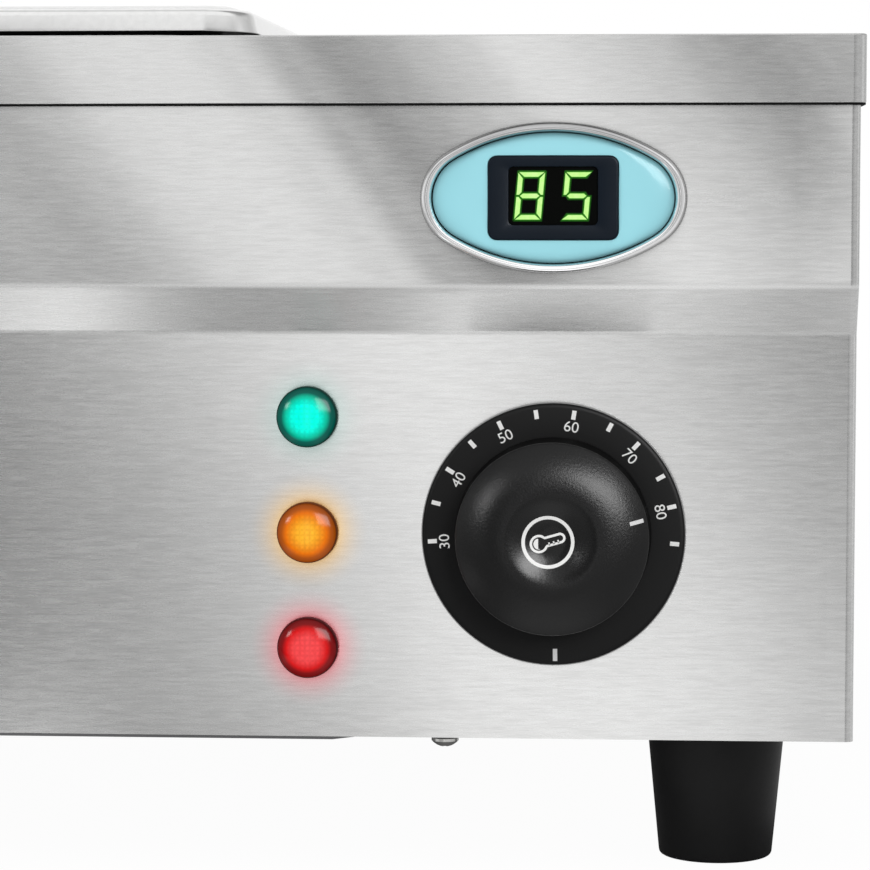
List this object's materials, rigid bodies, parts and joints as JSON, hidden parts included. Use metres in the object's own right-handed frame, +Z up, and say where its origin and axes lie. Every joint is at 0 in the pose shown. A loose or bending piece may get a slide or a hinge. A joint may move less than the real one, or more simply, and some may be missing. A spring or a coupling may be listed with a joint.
{
  "type": "bain-marie",
  "caption": "Countertop bain-marie: lift-out food pans with lift-off lids over a heated water tank, brushed steel casing, thermostat dial, lamps, temperature display and drain tap",
  "frame": {"origin": "on the table, under the middle of the part's box", "axes": "+X along the row of pans, to the user's right; +Y from the user's side to the rear; +Z up"},
  "size_m": [0.72, 0.4432, 0.23],
  "materials": {
    "brushed_casing_steel": "fine horizontal brushing, satin",
    "tank_steel": "dull mill finish",
    "base_steel": "dull mill finish",
    "plated_fasteners": "zinc plate",
    "foot_rubber": "matte moulded rubber",
    "pan_steel": "bright satin",
    "handle_steel": "satin drawn rod",
    "dial_black": "fine matte",
    "knob_black": "satin moulding",
    "white_insulator": "moulded",
    "copper_bulb": "drawn copper",
    "cutout_black": "moulded",
    "lens_green": "translucent, lit",
    "lens_amber": "translucent, lit",
    "lens_red": "translucent, lit",
    "surround_chrome": "polished",
    "face_blue": "smooth, pale blue",
    "window_black": "smooth, smoked",
    "digit_green": "lit segments",
    "gland_black": "moulded",
    "element_steel": "heat-darkened sheath",
    "tap_brass": "turned",
    "gasket_rubber": "flat washer",
    "tap_chrome": "plated casting",
    "ball_chrome": "polished",
    "grip_red": "dipped vinyl"
  },
  "bodies": {
    "casing": {"top_deck": "brushed_casing_steel", "front_panel": "brushed_casing_steel", "left_panel": "brushed_casing_steel", "right_panel": "brushed_casing_steel", "rear_panel": "brushed_casing_steel", "water_tank": "tank_steel", "divider_bar_left": "tank_steel", "divider_bar_right": "tank_steel", "base_plate": "base_steel", "rear_screws": "plated_fasteners", "base_screws": "plated_fasteners", "foot_screws": "plated_fasteners", "foot_nuts": "plated_fasteners", "thermostat_screws": "plated_fasteners", "lamp_nuts": "plated_fasteners", "foot_front_left": "foot_rubber", "foot_front_right": "foot_rubber", "foot_rear_left": "foot_rubber", "foot_rear_right": "foot_rubber", "dial_plate": "dial_black", "thermostat": "white_insulator", "sensing_bulb": "copper_bulb", "safety_cutout": "cutout_black", "green_lamp": "lens_green", "amber_lamp": "lens_amber", "red_lamp": "lens_red", "lamp_bodies": "white_insulator", "display_surround": "surround_chrome", "display_face": "face_blue", "display_window": "window_black", "display_digits": "digit_green", "display_housing": "cutout_black", "terminal_block": "white_insulator", "gland_body": "gland_black", "gland_cap": "gland_black", "gland_locknut": "gland_black", "heating_element": "element_steel", "element_nuts": "tap_brass", "drain_spigot": "tap_brass", "drain_gasket": "gasket_rubber", "drain_locknut": "tap_brass", "valve_body": "tap_chrome"},
    "knob": {"thermostat_knob": "knob_black", "thermostat_spindle": "plated_fasteners"},
    "tap_handle": {"valve_ball": "ball_chrome", "tap_lever": "handle_steel", "lever_grip": "grip_red", "lever_nut": "plated_fasteners"},
    "left_pan": {"pan_left": "pan_steel"},
    "left_lid": {"lid_left": "pan_steel", "lid_handle_left": "handle_steel"},
    "middle_pan": {"pan_middle": "pan_steel"},
    "middle_lid": {"lid_middle": "pan_steel", "lid_handle_middle": "handle_steel"},
    "right_pan": {"pan_right": "pan_steel"},
    "right_lid": {"lid_right": "pan_steel", "lid_handle_right": "handle_steel"}
  },
  "joints": [
    {"name": "knob_turn", "type": "hinge", "parent": "casing", "child": "knob", "pos_m": [0.2826, -0.1776, 0.0876], "axis": [0, -1, 0], "range_deg": [-16.5, 258.6]},
    {"name": "tap_turn", "type": "hinge", "parent": "casing", "child": "tap_handle", "pos_m": [-0.283, -0.1986, 0.09], "axis": [0, 0, -1], "range_deg": [0, 90]},
    {"name": "left_pan_lift", "type": "slide", "parent": "casing", "child": "left_pan", "axis": [0, 0, 1], "range_m": [0, 0.16]},
    {"name": "left_lid_lift", "type": "slide", "parent": "left_pan", "child": "left_lid", "axis": [0, 0, 1], "range_m": [0, 0.12]},
    {"name": "middle_pan_lift", "type": "slide", "parent": "casing", "child": "middle_pan", "axis": [0, 0, 1], "range_m": [0, 0.16]},
    {"name": "middle_lid_lift", "type": "slide", "parent": "middle_pan", "child": "middle_lid", "axis": [0, 0, 1], "range_m": [0, 0.12]},
    {"name": "right_pan_lift", "type": "slide", "parent": "casing", "child": "right_pan", "axis": [0, 0, 1], "range_m": [0, 0.16]},
    {"name": "right_lid_lift", "type": "slide", "parent": "right_pan", "child": "right_lid", "axis": [0, 0, 1], "range_m": [0, 0.12]}
  ]
}
